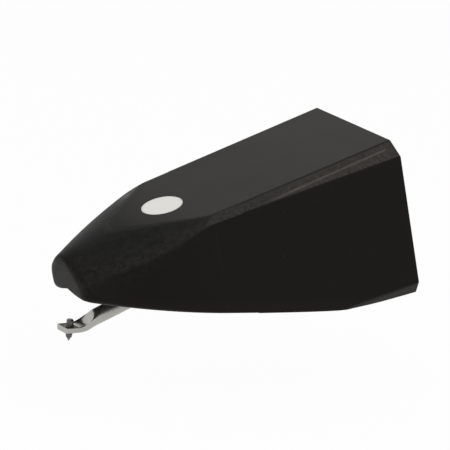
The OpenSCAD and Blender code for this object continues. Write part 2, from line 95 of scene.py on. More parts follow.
# ---------------------------------------------------------------- node helpers
class Net:
    """Short calls for wiring one node tree."""

    def __init__(self, tree):
        self.tree = tree

    def add(self, kind, inputs=None, **settings):
        node = self.tree.nodes.new(kind)
        for key, value in settings.items():
            setattr(node, key, value)
        for key, value in (inputs or {}).items():
            self.feed(node.inputs[key], value)
        return node

    def feed(self, socket, value):
        """Links a socket to another one, or gives it a constant value."""
        if isinstance(value, bpy.types.NodeSocket):
            self.tree.links.new(value, socket)
        else:
            socket.default_value = value

    def math(self, operation, a, b=0.0):
        node = self.add("ShaderNodeMath", operation=operation)
        self.feed(node.inputs[0], a)
        self.feed(node.inputs[1], b)
        return node.outputs[0]

    def product(self, first, *others):
        """Two or more values multiplied."""
        for other in others:
            first = self.math("MULTIPLY", first, other)
        return first

    def ramp(self, value, low, high, out_low=0.0, out_high=1.0):
        """Smooth step of a value between two limits."""
        return self.add("ShaderNodeMapRange", {"Value": value, "From Min": low, "From Max": high,
                                               "To Min": out_low, "To Max": out_high},
                        interpolation_type="SMOOTHSTEP").outputs["Result"]

    def mix(self, factor, a, b):
        """Two colours mixed."""
        node = self.add("ShaderNodeMix", data_type="RGBA")
        for index, value in ((0, factor), (6, a), (7, b)):
            self.feed(node.inputs[index], value)
        return node.outputs[2]

    def tint(self, colour, tone, mask, share):
        """A colour with a share of another tone where the mask is one."""
        return self.mix(self.product(mask, share), colour, tone)

    def blend(self, factor, a, b):
        """Two numbers mixed."""
        node = self.add("ShaderNodeMix", data_type="FLOAT")
        for index, value in ((0, factor), (2, a), (3, b)):
            self.feed(node.inputs[index], value)
        return node.outputs[0]

    def noise(self, vector, scale, detail=3.0, rough=0.55, distort=0.0):
        return self.add("ShaderNodeTexNoise", {"Vector": vector, "Scale": scale, "Detail": detail,
                                               "Roughness": rough, "Distortion": distort}).outputs["Fac"]

    def stretch(self, vector, scale, turn=0.0):
        """A vector scaled, and then turned about its third axis."""
        return self.add("ShaderNodeMapping", {"Vector": vector, "Rotation": (0.0, 0.0, turn),
                                              "Scale": scale}).outputs["Vector"]

    def split(self, vector):
        return self.add("ShaderNodeSeparateXYZ", {"Vector": vector}).outputs[:3]

    def attribute(self, name):
        return self.add("ShaderNodeAttribute", attribute_name=name).outputs["Fac"]

    def place(self):
        """Object coordinates, in metres."""
        return self.add("ShaderNodeTexCoord").outputs["Object"]

    def plug_mm(self):
        """Object coordinates turned to the plug axis, in millimetres."""
        return self.add("ShaderNodeMapping", {"Vector": self.place(), "Rotation": (0.0, TILT, 0.0),
                                              "Scale": (1 / MM, 1 / MM, 1 / MM)}).outputs["Vector"]

    def group(self, tree, **inputs):
        """Outputs of a shared effect; an underscore in an input's name stands for a space."""
        node = self.add("ShaderNodeGroup")
        node.node_tree = tree
        for key, value in inputs.items():
            self.feed(node.inputs[key.replace("_", " ")], value)
        return node.outputs

    def bump(self, height, depth_mm, strength):
        return self.add("ShaderNodeBump", {"Height": height, "Distance": depth_mm * MM,
                                           "Strength": strength}).outputs["Normal"]


def rgb(r, g=None, b=None):
    """An opaque colour; one value alone gives a grey."""
    return (r, r if g is None else g, r if b is None else b, 1.0)


def new_material(name):
    """An empty material with one shader, linked to its output."""
    mat = bpy.data.materials.new(name)
    mat.use_nodes = True
    mat.node_tree.nodes.clear()
    net = Net(mat.node_tree)
    out = net.add("ShaderNodeOutputMaterial")
    shader = net.add("ShaderNodeBsdfPrincipled")
    mat.node_tree.links.new(shader.outputs[0], out.inputs[0])
    return mat, net, shader


def assign(obj, mat):
    """Gives an object one material and no other."""
    obj.data.materials.clear()
    obj.data.materials.append(mat)


# ---------------------------------------------------------------- shared effects
def new_group(name, inputs, outputs):
    """An empty node group with a vector input, number inputs and number outputs."""
    tree = bpy.data.node_groups.new(name, "ShaderNodeTree")
    tree.interface.new_socket("Vector", in_out="INPUT", socket_type="NodeSocketVector")
    for key, value in inputs.items():
        tree.interface.new_socket(key, in_out="INPUT", socket_type="NodeSocketFloat").default_value = value
    for key in outputs:
        tree.interface.new_socket(key, in_out="OUTPUT", socket_type="NodeSocketFloat")
    net = Net(tree)
    return tree, net, net.add("NodeGroupInput").outputs, net.add("NodeGroupOutput").inputs


def eroded_grain(finer=2.7, coarse_share=0.62, swing=0.22):
    """Spark-eroded mould texture: two sizes of soft pit on each other, as a height and a mottle."""
    tree, net, given, out = new_group("eroded_grain", {"Pits per mm": 5.0, "Contrast": 1.0},
                                      ("Height", "Mottle"))
    at, pits = given["Vector"], given["Pits per mm"]
    coarse = net.noise(at, pits, detail=2.0, rough=0.6, distort=0.6)
    fine = net.noise(at, net.product(pits, finer), detail=3.0, rough=0.6)
    both = net.math("ADD", net.product(coarse, coarse_share), net.product(fine, 1 - coarse_share))
    net.feed(out["Height"], both)
    centred = net.product(net.math("SUBTRACT", both, 0.5), given["Contrast"])
    net.feed(out["Mottle"], net.ramp(centred, -swing, swing))
    return tree


def handling_marks():
    """Fine straight scratches along two directions, thinned by a patchy mask, and faint dust."""
    tree, net, given, out = new_group("handling_marks", {"Density": 0.5}, ("Scratches", "Dust"))
    at, lines = given["Vector"], []
    for turn, lengthwise in ((0.35, 0.315), (-0.75, 0.455)):
        turned = net.stretch(at, (lengthwise, 9.0, 2.0), turn)
        lines.append(net.ramp(net.noise(turned, 1.6, detail=1.0, rough=0.4), 0.70, 0.78))
    patch = net.product(net.noise(at, 0.5, detail=2.0), given["Density"])
    net.feed(out["Scratches"], net.product(net.math("MAXIMUM", *lines), patch))
    speck = net.ramp(net.noise(at, 11.0, detail=1.0, rough=0.3), 0.76, 0.84)
    net.feed(out["Dust"], net.product(speck, given["Density"]))
    return tree


def drawn_metal():
    """Lines left by drawing or turning: noise stretched along one direction, with a little stain."""
    tree, net, given, out = new_group("drawn_metal", {"Lines per mm": 20.0, "Stain": 0.3},
                                      ("Lines", "Stain"))
    at = given["Vector"]
    net.feed(out["Lines"], net.noise(at, given["Lines per mm"], detail=2.0, rough=0.6))
    stain = net.ramp(net.noise(at, 3.0), 0.4, 0.75)
    net.feed(out["Stain"], net.product(stain, given["Stain"]))
    return tree


GRAIN, MARKS, DRAWN = eroded_grain(), handling_marks(), drawn_metal()

# ---------------------------------------------------------------- the plastic
# Tones; where there are two, they are the dark and the light end of a mottle
FLANK_TONES = rgb(0.0062, 0.0056, 0.0048), rgb(0.0078, 0.0066, 0.0056)
# painted sheen: the second tone on the next line lightens the top towards the rim
TOP_TONE, TOP_REAR_SHEEN_TONE = rgb(0.0085, 0.0070, 0.0040), rgb(0.0140, 0.0125, 0.0098)
LOW_TONE = rgb(0.0118, 0.0078, 0.0080)
BEVEL_TONES = rgb(0.0143, 0.0128, 0.0112), rgb(0.0545, 0.0465, 0.0412)
BEVEL_AHEAD_TONES = rgb(0.0135, 0.0130, 0.0115), rgb(0.0370, 0.0355, 0.0320)
NOSE_TONES = rgb(0.0012, 0.0011, 0.0010), rgb(0.0062, 0.0060, 0.0054)
NOSE_SIDE_TONES = rgb(0.0040, 0.0038, 0.0030), rgb(0.0170, 0.0162, 0.0134)
# painted highlight: the first tone on the next line is a light line painted along each bevel
HIGHLIGHT_LINE_TONE, RIDGE_LINE_TONE = rgb(0.096, 0.086, 0.076), rgb(0.024, 0.023, 0.020)
DUST_TONE, SCRATCH_TONE = rgb(0.12, 0.115, 0.105), rgb(0.035)
# Gloss of the flanks, the top, the top's front end and the eroded faces
FLANK_ROUGH, TOP_ROUGH, TOP_END_ROUGH, ERODED_ROUGH = (0.30, 0.40), (0.36, 0.46), 0.62, 0.58
# Height above the flank's lower edge is z + LOWER_SLOPE x + LOWER_H
LOWER_SLOPE, LOWER_H = 0.3437, 4.87
HIGHLIGHT_LINE_Y = 3.555  # distance of the bevels' painted highlight line from the middle plane
# Where things fade along the plug axis: from nought at the first place to one at the second
FOOT_FADE, TOP_END_FADE, TOP_REAR_SHEEN_FADE = (-14.8, -16.4), (-12.8, -14.2), (-9.0, -1.0)
BEVEL_FADE, HIGHLIGHT_LINE_FADE, HIGHLIGHT_LINE_END = (-5.0, -9.0), (-8.0, -5.6), (-0.45, -0.65)
# The same above the flank's lower edge, and on both sides of the painted highlight line
FOOT_HEIGHT, LOW_HEIGHT, HIGHLIGHT_LINE_WIDTH = (2.2, 1.2), (0.8, 0.1), (0.055, 0.015)


def grip_plastic():
    """Black moulded plastic: satin top, fine dark flanks, eroded bevels and nose."""
    mat, net, shader = new_material("grip_plastic")
    shader.inputs["Specular IOR Level"].default_value = 0.085
    at = net.plug_mm()
    x, y, z = net.split(at)
    eroded, nose, top = net.attribute("eroded"), net.attribute("nose"), net.attribute("top")
    grain = net.group(GRAIN, Vector=at, Pits_per_mm=4.6, Contrast=1.0)
    fine = net.group(GRAIN, Vector=at, Pits_per_mm=7.5, Contrast=1.5)
    pits = net.group(GRAIN, Vector=at, Pits_per_mm=3.4, Contrast=1.25)
    marks = net.group(MARKS, Vector=at, Density=0.8)
    cloud = net.noise(at, 0.45, rough=0.6)
    scratch = net.product(marks["Scratches"], net.math("SUBTRACT", 1.0, nose))
    pitted = net.math("MAXIMUM", eroded, nose)

    # flanks and top: brownish along the lower edge and low on the nose; on the top a painted sheen, lighter
    # and greyer towards the rim
    smooth = net.tint(net.mix(cloud, *FLANK_TONES), TOP_TONE, top, 0.6)
    above = net.math("ADD", net.math("ADD", z, net.product(x, LOWER_SLOPE)), LOWER_H)
    foot = net.product(net.ramp(x, *FOOT_FADE), net.ramp(above, *FOOT_HEIGHT))
    low = net.math("MAXIMUM", net.ramp(above, *LOW_HEIGHT), foot)
    smooth = net.tint(smooth, LOW_TONE, low, 0.7)
    # painted sheen: the top grows lighter and greyer towards the rim
    smooth = net.tint(smooth, TOP_REAR_SHEEN_TONE, top, net.ramp(x, *TOP_REAR_SHEEN_FADE))
    # bevels, with a painted highlight line along each of them
    pale = net.mix(net.blend(0.6, grain["Mottle"], fine["Mottle"]), *BEVEL_TONES)
    pale = net.mix(net.ramp(x, *BEVEL_FADE), pale, net.mix(fine["Mottle"], *BEVEL_AHEAD_TONES))
    # painted highlight: a light line along each bevel, fading out towards the nose and at the rim
    off_line = net.math("ABSOLUTE", net.math("SUBTRACT", net.math("ABSOLUTE", y), HIGHLIGHT_LINE_Y))
    line = net.product(net.ramp(off_line, *HIGHLIGHT_LINE_WIDTH), net.ramp(x, *HIGHLIGHT_LINE_FADE),
                       net.ramp(x, *HIGHLIGHT_LINE_END))
    pale = net.tint(pale, HIGHLIGHT_LINE_TONE, line, 0.75)
    # nose, with larger pits beside the ridge over each flank
    dark = net.mix(grain["Mottle"], *NOSE_TONES)
    dark = net.mix(net.attribute("beside_ridge"), dark, net.mix(pits["Mottle"], *NOSE_SIDE_TONES))
    # a lighter, patchy line along the ridge over each flank
    ridge_line = net.product(net.attribute("ridge"), net.ramp(net.noise(at, 3.0, detail=2.0), 0.30, 0.60))

    colour = net.mix(nose, net.mix(eroded, smooth, pale), dark)
    colour = net.tint(colour, RIDGE_LINE_TONE, ridge_line, 0.7)
    colour = net.tint(colour, DUST_TONE, marks["Dust"], 0.25)
    net.feed(shader.inputs["Base Color"], net.tint(colour, SCRATCH_TONE, scratch, 0.12))

    rough = net.blend(top, net.blend(cloud, *FLANK_ROUGH), net.blend(cloud, *TOP_ROUGH))
    rough = net.blend(net.product(top, net.ramp(x, *TOP_END_FADE)), rough, TOP_END_ROUGH)
    rough = net.blend(pitted, rough, ERODED_ROUGH)
    net.feed(shader.inputs["Roughness"], net.math("ADD", rough, net.product(scratch, 0.12)))

    peel = net.product(net.noise(at, 9.0, detail=2.0), 0.04)
    height = net.math("SUBTRACT", net.blend(pitted, peel, grain["Height"]), net.product(scratch, 0.06))
    net.feed(shader.inputs["Normal"], net.bump(height, 0.035, 0.7))
    return mat


def dot_paint(centre=-11.3, edge=(0.90, 1.02)):
    """White paint, a little cloudy, greyer where it meets the wall of its recess."""
    mat, net, shader = new_material("dot_paint")
    at = net.plug_mm()
    x, y, _ = net.split(at)
    off = net.math("SUBTRACT", x, centre)
    reach = net.math("SQRT", net.math("ADD", net.product(off, off), net.product(y, y)))
    cloud = net.noise(at, 2.2)
    marks = net.group(MARKS, Vector=at, Density=0.5)
    colour = net.mix(cloud, rgb(0.765, 0.758, 0.715), rgb(0.815, 0.808, 0.77))
    colour = net.tint(colour, rgb(0.40, 0.39, 0.37), net.ramp(reach, *edge), 0.45)
    colour = net.tint(colour, rgb(0.45, 0.44, 0.40), marks["Dust"], 0.5)
    net.feed(shader.inputs["Base Color"], colour)
    net.feed(shader.inputs["Roughness"], net.blend(cloud, 0.34, 0.46))
    net.feed(shader.inputs["Normal"], net.bump(net.noise(at, 7.0, detail=2.0), 0.008, 0.5))
    return mat


# ---------------------------------------------------------------- metal, rubber, glue and diamond
def metal(name, bright, dull, rough, stretch=(1.0, 1.0, 1.0), lines=7.0, stain=0.3, depth=0.002):
    """A drawn, turned or ground metal: lines set the gloss, stains dull the colour."""
    mat, net, shader = new_material(name)
    shader.inputs["Metallic"].default_value = 1.0
    work = net.group(DRAWN, Vector=net.stretch(net.plug_mm(), stretch), Lines_per_mm=lines, Stain=stain)
    net.feed(shader.inputs["Base Color"], net.mix(work["Stain"], bright, dull))
    net.feed(shader.inputs["Roughness"], net.ramp(work["Lines"], 0.3, 0.7, rough * 0.85, rough * 1.2))
    net.feed(shader.inputs["Normal"], net.bump(work["Lines"], depth, 0.3))
    return mat


def soft_or_glassy(name, light, dark, rough, scale, depth, level=0.5):
    """Rubber, adhesive and diamond: a cloudy colour, an uneven gloss and a low swell."""
    mat, net, shader = new_material(name)
    shader.inputs["Specular IOR Level"].default_value = level
    cloud = net.noise(net.plug_mm(), scale)
    net.feed(shader.inputs["Base Color"], net.mix(cloud, dark, light))
    net.feed(shader.inputs["Roughness"], net.blend(cloud, rough * 1.25, rough * 0.8))
    net.feed(shader.inputs["Normal"], net.bump(cloud, depth, 0.5))
    return mat


# Edges of the dark film painted on the pad's top as the nose's dark reflection, and of the polished dish,
# in the playing attitude and in metres:
# the mask is nought at the first value and one at the second
PAD_REFLECTION_LEVEL, PAD_REFLECTION_REAR, PAD_REFLECTION_FRONT = ((low * MM, high * MM) for low, high in (
    (-5.38, -5.35), (-16.15, -16.3), (-16.92, -16.88)))
PAD_REFLECTION_SIDE = (0.455, 0.42)  # in millimetres
DISH_REAR, DISH_FRONT = ((low * MM, high * MM) for low, high in ((-14.95, -15.1), (-16.3, -16.15)))
ALLOY_TONES = rgb(0.46, 0.45, 0.42), rgb(0.33, 0.31, 0.28)
# painted shade: the last tone on the next line darkens the inner edges of the rims
PAD_REFLECTION_TONES, CREASE_SHADE_TONE = (rgb(0.010, 0.0095, 0.008), rgb(0.050, 0.048, 0.042)), rgb(0.045, 0.042, 0.036)


def cantilever_metal():
    """Drawn aluminium alloy; on the flattened end a dark, dull film painted on the pad's top round the
    shank stands in for the nose's dark reflection, and painted shade darkens the inner edges of the rims.
    """
    mat, net, shader = new_material("cantilever_aluminium")
    at = net.plug_mm()
    y = net.split(at)[1]
    along, _, level = net.split(net.place())
    work = net.group(DRAWN, Vector=net.stretch(at, (0.25, 1.0, 1.0)), Lines_per_mm=22.0, Stain=0.35)
    # painted reflection: a dark, dull, non-metallic film on the pad's top round the shank stands in for the
    # nose's dark reflection
    pad_reflection = net.product(net.ramp(level, *PAD_REFLECTION_LEVEL), net.ramp(along, *PAD_REFLECTION_REAR),
                       net.ramp(net.math("ABSOLUTE", y), *PAD_REFLECTION_SIDE), net.ramp(along, *PAD_REFLECTION_FRONT))
    dish = net.product(net.ramp(along, *DISH_REAR), net.ramp(along, *DISH_FRONT))
    # painted shade: darkens a narrow strip inside each rim of the pressed end
    colour = net.tint(net.mix(work["Stain"], *ALLOY_TONES), CREASE_SHADE_TONE, net.attribute("crease_shade"), 0.85)
    reflection_colour = net.mix(net.ramp(net.noise(at, 6.0), 0.35, 0.65), *PAD_REFLECTION_TONES)
    net.feed(shader.inputs["Base Color"], net.mix(pad_reflection, colour, reflection_colour))
    net.feed(shader.inputs["Metallic"], net.blend(pad_reflection, 0.86, 0.0))
    rough = net.blend(dish, net.ramp(work["Lines"], 0.3, 0.7, 0.32, 0.42), 0.27)
    net.feed(shader.inputs["Roughness"], net.blend(pad_reflection, rough, 0.5))
    net.feed(shader.inputs["Normal"], net.bump(work["Lines"], 0.0006, 0.3))
    return mat


# Stretch of a metal's lines: drawn along the plug axis, or turned about it
DRAWN_OUT, TURNED, UPRIGHT = (0.2, 1.0, 1.0), (6.0, 1.0, 1.0), (1.0, 1.0, 5.0)
NICKEL, BRASS, WIRE, MAGNET, SHANK = (
    (rgb(0.62, 0.58, 0.49), rgb(0.42, 0.36, 0.26)), (rgb(0.66, 0.50, 0.24), rgb(0.40, 0.28, 0.12)),
    (rgb(0.50, 0.50, 0.51), rgb(0.34, 0.33, 0.32)), (rgb(0.26, 0.26, 0.27), rgb(0.16, 0.15, 0.15)),
    (rgb(0.125, 0.124, 0.12), rgb(0.055, 0.053, 0.05)))
RUBBER, DIAMOND, ADHESIVE = (
    (rgb(0.014), rgb(0.008)), (rgb(0.20, 0.19, 0.165), rgb(0.10, 0.094, 0.082)),
    (rgb(0.060, 0.048, 0.032), rgb(0.026, 0.020, 0.013)))
for node, mat in {
    "marker_dot": dot_paint(),
    "support_tube": metal("tube_metal", *NICKEL, 0.24, DRAWN_OUT),
    "damper_ring": soft_or_glassy("damper_rubber", *RUBBER, 0.6, scale=6.0, depth=0.01, level=0.3),
    "pivot_collar": metal("collar_brass", *BRASS, 0.22, TURNED, lines=4.0),
    "magnet": metal("magnet_metal", *MAGNET, 0.34, lines=8.0, stain=0.5, depth=0.003),
    "tie_wire": metal("wire_steel", *WIRE, 0.25, (0.3, 1.0, 1.0), lines=20.0),
    "wire_anchor": metal("anchor_brass", *BRASS, 0.28, TURNED, lines=4.0),
    "tip_shank": metal("shank_steel", *SHANK, 0.32, UPRIGHT, lines=12.0, stain=0.6),
    "diamond_tip": soft_or_glassy("diamond", *DIAMOND, 0.14, scale=12.0, depth=0.002, level=0.8),
    "tip_bond": soft_or_glassy("adhesive", *ADHESIVE, 0.3, scale=9.0, depth=0.01),
}.items():
    assign(nodes[node], mat)


# ---------------------------------------------------------------- mesh helpers
def link(name, data):
    """A new object at the origin, in the scene."""
    obj = bpy.data.objects.new(name, data)
    bpy.context.scene.collection.objects.link(obj)
    return obj


def read(items, name, width=1, kind=float):
    """One property of all items as an array, with a row for each item where it has several numbers."""
    values = np.empty(len(items) * width, kind)
    items.foreach_get(name, values)
    return values.reshape(-1, width) if width > 1 else values


def read_kind(mesh, name):
    """The whole number that each face stores under a name."""
    return read(mesh.attributes[name].data, "value", kind=np.int32)


def face_corners(mesh):
    """The vertex and the face of each face corner."""
    sizes = read(mesh.polygons, "loop_total", kind=int)
    return read(mesh.loops, "vertex_index", kind=int), np.repeat(np.arange(len(sizes)), sizes)


def paint(mesh, name, domain, values):
    """Stores a number for each vertex or face, for the material to read."""
    mesh.attributes.new(name, "FLOAT", domain).data.foreach_set("value", values.astype(np.float32))


# ---------------------------------------------------------------- the grip's rounded form
# The nose's cone, its tip and its axis
CONE_HALF, CONE_DIP = math.radians(51), math.radians(41)
CONE_TIP = np.array([-17.88, 0.0, 2.9])
CONE_AXIS = np.array([math.cos(CONE_DIP), 0.0, -math.sin(CONE_DIP)])
# The arc that carries each side in to the nose: where it starts, its centre and its radius
ARC_X, ARC_CENTRE, ARC_R = -10.5, (-9.787, 10.11), 13.63
# Ends of the front face and of the underside, seen from the side, and how far the underside bows
LIP, FOOT, BEND, BOW = (-17.16, 3.047), (-17.02, 0.98), (-3.4, -3.7), 0.12
NOSE_X = -8.9  # the rounded form begins here and reaches ahead
# How far the flanks and the front face stand outside the solid's, the flanks from SWELL_X on
FLANK_OUT, FRONT_OUT, SWELL_X, SWELL_LEN = 0.13, 0.11, -10.0, 4.0
# Radii of the corners; those with a growth grow by it where the flanks swell
TOP_R, FRONT_TOP_R, FRONT_SIDE_R, EDGE_R = 0.075, 0.3, 0.36, 0.05
CONE_GROWTH, RIDGE_GROWTH, UNDER_GROWTH = 0.03, 0.1, 0.18


def round_max(a, b, r):
    """The larger of two distances, with the corner between their surfaces rounded to radius r."""
    return np.minimum(np.maximum(a, b), -r) + np.hypot(np.maximum(a + r, 0), np.maximum(b + r, 0))


def share_ahead(x, start, length):
    """Nought behind a start, rising to one over a length ahead of it."""
    return np.clip((start - x) / length, 0, 1)


def cone_distance(points):
    """Distance outside the nose's cone: radius from its axis against height along it."""
    v = points - CONE_TIP
    along = v @ CONE_AXIS
    radius = np.linalg.norm(v - along[:, None] * CONE_AXIS, axis=1)
    return radius * math.cos(CONE_HALF) - along * math.sin(CONE_HALF)


def flank_distance(points):
    """Distance outside the nearer side: a flat flank behind, an arc that leads in to the nose ahead."""
    x, y = points[:, 0], np.abs(points[:, 1])
    flat = (y - SIDE_W - x * SIDE_SLOPE) * math.cos(math.atan(SIDE_SLOPE))
    return np.where(x < ARC_X, np.hypot(x - ARC_CENTRE[0], y + ARC_CENTRE[1]) - ARC_R, flat)


def nose_distance(points):
    """Distance outside the grip's front half: top, bevels, cone, flanks, front face and underside,
    joined two at a time with a rounded corner, each of its own radius."""
    x, y, z = points[:, 0], np.abs(points[:, 1]), points[:, 2]
    ahead = share_ahead(x, SWELL_X, SWELL_LEN)
    top = (z - TOP_H - x * TOP_SLOPE) * math.cos(math.atan(TOP_SLOPE))
    chamfer = CHAMFER_N[0] * x - CHAMFER_N[1] * y + CHAMFER_N[2] * z - CHAMFER_D
    flank = flank_distance(points) - FLANK_OUT * ahead
    dx, dz = x - FOOT[0], z - FOOT[1]
    fx, fz = LIP[0] - FOOT[0], LIP[1] - FOOT[1]
    front = (dz * fx - dx * fz) / math.hypot(fx, fz) - FRONT_OUT
    bx, bz = BEND[0] - FOOT[0], BEND[1] - FOOT[1]
    share = np.clip((dx * bx + dz * bz) / (bx * bx + bz * bz), 0, 1)
    under = (dx * bz - dz * bx) / math.hypot(bx, bz) - BOW * 4 * share * (1 - share)
    roof = round_max(round_max(top, chamfer, TOP_R), cone_distance(points), EDGE_R + CONE_GROWTH * ahead)
    body = round_max(round_max(roof, front, FRONT_TOP_R), round_max(flank, front, FRONT_SIDE_R),
                     EDGE_R + RIDGE_GROWTH * ahead)
    return round_max(body, under, EDGE_R + UNDER_GROWTH * ahead)


def slope_of(distance, points, step=0.004):
    """Gradient of a distance by differences to both sides along each axis."""
    sides = [(distance(points + axis) - distance(points - axis)) / (2 * step) for axis in np.eye(3) * step]
    return np.stack(sides, axis=1)


def lay_on_nose(points, rounds=8):
    """Moves points onto the rounded form: each round goes down the slope by the distance left."""
    for _ in range(rounds):
        slope = slope_of(nose_distance, points)
        points = points - slope * (nose_distance(points) / (slope ** 2).sum(axis=1))[:, None]
    return points


# ---------------------------------------------------------------- the grip's mesh
WELD, REWELD, FLAT_ANGLE = 0.0005, 0.002, math.radians(0.25)
REAR_EDGE_R, REAR_EDGE_ANGLE = 0.075, math.radians(12)
GRID = 0.1
GRID_SPANS = (((1, 0, 0), -17.2, NOSE_X), ((0, 1, 0), -3.55, 3.6), ((0, 0, 1), -1.75, 3.8))
# At the rim the lower bevel reaches this much further up each flank. Its upper corner there is all
# that lies behind the first place, further out than the second and below the third.
LOW_BEVEL_RISE, RIM_CORNER = 0.15, (-0.5, 3.9, -3.4)
# Points up to this far behind NOSE_X belong to the nose, and up to this far ahead they stay put
SEAM = 0.01, 0.05
CHAMFER, CONE, TOP, LOW, FRONT, FLANK, OTHER, EDGE = range(1, 9)
# Share of the eroded texture, and of the top's looks, on each kind of face
ERODED_SHARE, TOP_SHARE = {CHAMFER: 1.0, LOW: 0.45, FRONT: 0.5}, {TOP: 1.0}
# The nose's look: where it starts below the cone and how fast; how far its weaker share goes down
# the flanks, how strong it is and over what length it comes in
NOSE_FROM, NOSE_BLUR, NOSE_DROP, NOSE_SHARE, NOSE_COMES_IN = 0.05, 0.045, 0.7, 0.75, 2.5
PITS_WIDE, RIDGE_WIDE = 1.3, 0.14  # widths of the strip beside the ridge and of the ridge


def sort_faces(mesh):
    """Names each face of the grip's convex outer form by where it lies and which way it looks.
    A face belongs to that form if no corner of the grip stands further out than it does."""
    normals, centres = read(mesh.polygons, "normal", 3), read(mesh.polygons, "center", 3)
    furthest = (normals @ read(mesh.vertices, "co", 3).T).max(axis=1)
    outer = furthest - (normals * centres).sum(axis=1) < 0.03 * MM
    n, c = turn_to_plug(normals), to_plug(centres)
    ahead, across, up = -n[:, 0], np.abs(n[:, 1]), n[:, 2]
    to_chamfer = np.stack([n[:, 0], -across, up], axis=1) @ CHAMFER_N
    kinds = np.where(outer, OTHER, 0)
    for kind, test in ((FLANK, (np.abs(up) < 0.05) & (ahead > -0.2) & (ahead < 0.8)),
                       (FRONT, ahead > 0.8),
                       (LOW, (up < -0.3) & (across > 0.3)),
                       (CONE, (up > 0.15) & (c[:, 0] < -9)),
                       (TOP, (up > 0.999) & (np.abs(c[:, 2] - TOP_H - c[:, 0] * TOP_SLOPE) < 0.05)),
                       (CHAMFER, to_chamfer > 0.9995)):
        kinds[outer & test] = kind
    return kinds.astype(np.int32)


def merged_housing():
    """The housing's own surface with its corners and its coplanar faces merged and its faces sorted."""
    bm = bmesh.new()
    bm.from_mesh(nodes["housing"].data)
    bmesh.ops.remove_doubles(bm, verts=bm.verts[:], dist=WELD * MM)
    bmesh.ops.dissolve_limit(bm, angle_limit=FLAT_ANGLE, verts=bm.verts[:], edges=bm.edges[:])
    mesh = bpy.data.meshes.new("grip")
    bm.to_mesh(mesh)
    bm.free()
    kinds = sort_faces(mesh)
    mesh.attributes.new("kind", "INT", "FACE").data.foreach_set("value", kinds)
    return mesh


def cut_and_round(mesh):
    """Rounds the outer edges of the rear half, and cuts the outer faces of the nose, which get the
    mark "fine", into a grid. The large faces behind become triangles."""
    bm = bmesh.new()
    bm.from_mesh(mesh)
    mark = bm.faces.layers.int.new("fine")
    kind = bm.faces.layers.int["kind"]

    def cut(faces, place, direction):
        """Cuts faces along a plane through a place and square to a direction."""
        geom = list({e for f in faces for e in f.edges} | {v for f in faces for v in f.verts}) + faces
        bmesh.ops.bisect_plane(bm, geom=geom, dist=0.0, plane_co=to_row([place])[0],
                               plane_no=turn_to_row([direction])[0])

    cut([f for f in bm.faces if f[kind]], (NOSE_X, 0, 0), (1, 0, 0))
    edges = [e for e in bm.edges if len(e.link_faces) == 2 and e.is_convex
             and min(f[kind] for f in e.link_faces) > 0 and e.calc_face_angle() > REAR_EDGE_ANGLE
             and plug_x((e.verts[0].co + e.verts[1].co) / 2) > NOSE_X]
    made = bmesh.ops.bevel(bm, geom=edges, offset=REAR_EDGE_R * MM, offset_type="OFFSET", segments=3,
                           profile=0.5, affect="EDGES", clamp_overlap=False, material=-1)
    for face in made["faces"]:
        face[kind] = EDGE
    for face in bm.faces:
        face[mark] = int(face[kind] > 0 and plug_x(face.calc_center_median()) < NOSE_X)
    for direction, first, last in GRID_SPANS:
        for place in np.arange(first, last, GRID):
            cut([f for f in bm.faces if f[mark]], np.array(direction) * place, direction)
    bmesh.ops.remove_doubles(bm, verts=bm.verts[:], dist=REWELD * MM)
    bmesh.ops.triangulate(bm, faces=[f for f in bm.faces if not f[mark] and len(f.verts) > 4],
                          quad_method="BEAUTY", ngon_method="BEAUTY")
    bm.to_mesh(mesh)
    bm.free()


def corner_normals(mesh, kinds, fine, on_nose):
    """Corner normals: flat on each plane of the rear half; on the rounded edges the normal of the
    plane that a corner touches; on the nose the slope of its distance, which turns smoothly."""
    corner_vert, corner_face = face_corners(mesh)
    kind, out = kinds[corner_face], read(mesh.corner_normals, "vector", 3)
    plane = np.isin(kind, (CHAMFER, TOP, LOW, FRONT, FLANK))
    out[plane] = read(mesh.polygons, "normal", 3)[corner_face[plane]]
    named = (kind > 0) & (kind < EDGE)
    total = np.zeros((len(mesh.vertices), 3))
    np.add.at(total, corner_vert[named], out[named])
    rounded = (kind == EDGE) & (np.linalg.norm(total, axis=1) > 0)[corner_vert]
    out[rounded] = total[corner_vert[rounded]]
    smooth = (fine[corner_face] > 0) & on_nose[corner_vert]
    slope = slope_of(nose_distance, to_plug(read(mesh.vertices, "co", 3)))
    out[smooth] = turn_to_row(slope)[corner_vert[smooth]]
    return out / np.linalg.norm(out, axis=1)[:, None]


def paint_areas(mesh, kinds, at, on_nose):
    """Masks for the plastic: eroded bevels and smooth top by kind of face; the nose, the strip beside
    the ridge over each flank, and the ridge itself by distance from the cone and the flank."""
    for name, share in (("eroded", ERODED_SHARE), ("top", TOP_SHARE)):
        paint(mesh, name, "FACE", np.array([share.get(k, 0.0) for k in range(EDGE + 1)])[kinds])
    cone, flank = cone_distance(at), flank_distance(at)
    ahead = share_ahead(at[:, 0], ARC_X, NOSE_COMES_IN)
    on_cone = np.clip((cone + NOSE_FROM) / NOSE_BLUR, 0, 1)
    below_cone = NOSE_SHARE * ahead * np.clip(1 + cone / NOSE_DROP, 0, 1)
    off_ridge = np.abs(cone - flank + FLANK_OUT * ahead)
    for name, values in (("nose", np.maximum(on_cone, below_cone)),
                         ("beside_ridge", np.clip(1 + flank / PITS_WIDE, 0, 1)),
                         ("ridge", np.clip(1 - off_ridge / RIDGE_WIDE, 0, 1))):
        paint(mesh, name, "POINT", np.where(on_nose, values, 0))


